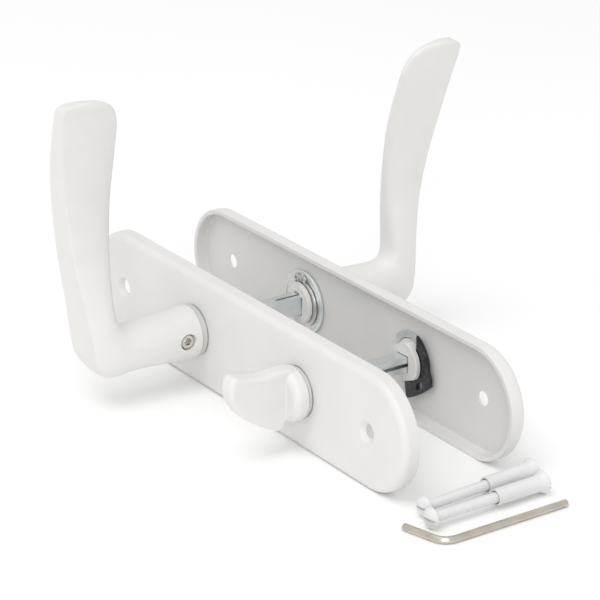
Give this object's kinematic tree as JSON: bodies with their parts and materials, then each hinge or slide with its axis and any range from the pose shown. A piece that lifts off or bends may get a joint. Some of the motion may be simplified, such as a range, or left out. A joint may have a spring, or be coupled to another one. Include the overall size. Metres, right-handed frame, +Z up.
{
  "type": "lever door handle set",
  "caption": "White lever handles on long round-ended backplates facing each other across a door gap, with a privacy thumbturn, spindles, sleeve bolts and hex key.",
  "frame": {"origin": "middle of the long edge that the front backplate stands on", "axes": "+X along the backplates from the lever towards the thumbturn, +Y from the front backplate through the door gap to the rear one, +Z up from the floor"},
  "size_m": [0.2384, 0.1706, 0.1237],
  "materials": {
    "plate_lacquer": "white powder coat, satin",
    "handle_lacquer": "white powder coat, satin",
    "bolt_lacquer": "white lacquer, satin",
    "bush_nylon": "white nylon",
    "washer_zinc": "bright zinc plate",
    "clip_zinc": "bright zinc plate",
    "spindle_zinc": "bright zinc plate",
    "clip_black": "blackened spring steel",
    "screw_nickel": "nickel plate",
    "key_nickel": "nickel plate"
  },
  "bodies": {
    "front_side": {"front_backplate": "plate_lacquer", "front_lever_bush": "bush_nylon", "front_turn_bush": "bush_nylon", "front_lever_washer": "washer_zinc", "front_turn_washer": "washer_zinc", "bolt_sleeve_1": "bolt_lacquer", "bolt_sleeve_2": "bolt_lacquer", "hex_key": "key_nickel"},
    "rear_side": {"rear_backplate": "plate_lacquer", "rear_lever_bush": "bush_nylon", "rear_turn_bush": "bush_nylon", "rear_lever_washer": "washer_zinc", "rear_turn_washer": "washer_zinc"},
    "front_handle": {"front_lever": "handle_lacquer", "front_set_screw": "screw_nickel", "front_lever_circlip": "clip_zinc", "lever_spindle": "spindle_zinc"},
    "rear_handle": {"rear_lever": "handle_lacquer", "rear_set_screw": "screw_nickel", "rear_lever_circlip": "clip_zinc"},
    "front_turn": {"thumbturn": "handle_lacquer", "front_turn_clip": "clip_black", "turn_spindle": "spindle_zinc"},
    "rear_turn": {"emergency_release": "handle_lacquer", "rear_turn_clip": "clip_black"},
    "bolt_1": {"bolt_screw_1": "bolt_lacquer"},
    "bolt_2": {"bolt_screw_2": "bolt_lacquer"}
  },
  "joints": [
    {"name": "door_thickness_slide", "type": "slide", "parent": "front_side", "child": "rear_side", "axis": [0, 1, 0], "range_m": [-0.003, 0.005]},
    {"name": "front_lever_turn", "type": "hinge", "parent": "front_side", "child": "front_handle", "pos_m": [-0.03, 0, 0.022], "axis": [0, 1, 0], "range_deg": [0, 45]},
    {"name": "rear_lever_turn", "type": "hinge", "parent": "rear_side", "child": "rear_handle", "pos_m": [-0.03, 0.044, 0.022], "axis": [0, 1, 0], "range_deg": [0, 45]},
    {"name": "thumbturn_turn", "type": "hinge", "parent": "front_side", "child": "front_turn", "pos_m": [0.04, 0, 0.022], "axis": [0, 1, 0], "range_deg": [0, 90]},
    {"name": "release_turn", "type": "hinge", "parent": "rear_side", "child": "rear_turn", "pos_m": [0.04, 0.044, 0.022], "axis": [0, 1, 0], "range_deg": [0, 90]},
    {"name": "bolt_1_thread", "type": "slide", "parent": "front_side", "child": "bolt_1", "axis": [-0.0523, 0.9986, 0], "range_m": [-0.002, 0.008]},
    {"name": "bolt_2_thread", "type": "slide", "parent": "front_side", "child": "bolt_2", "axis": [-0.007, 1, 0], "range_m": [-0.002, 0.008]}
  ],
  "couplings": [
    {"joint": "rear_lever_turn", "follows": "front_lever_turn", "ratio": 1},
    {"joint": "release_turn", "follows": "thumbturn_turn", "ratio": 1}
  ]
}
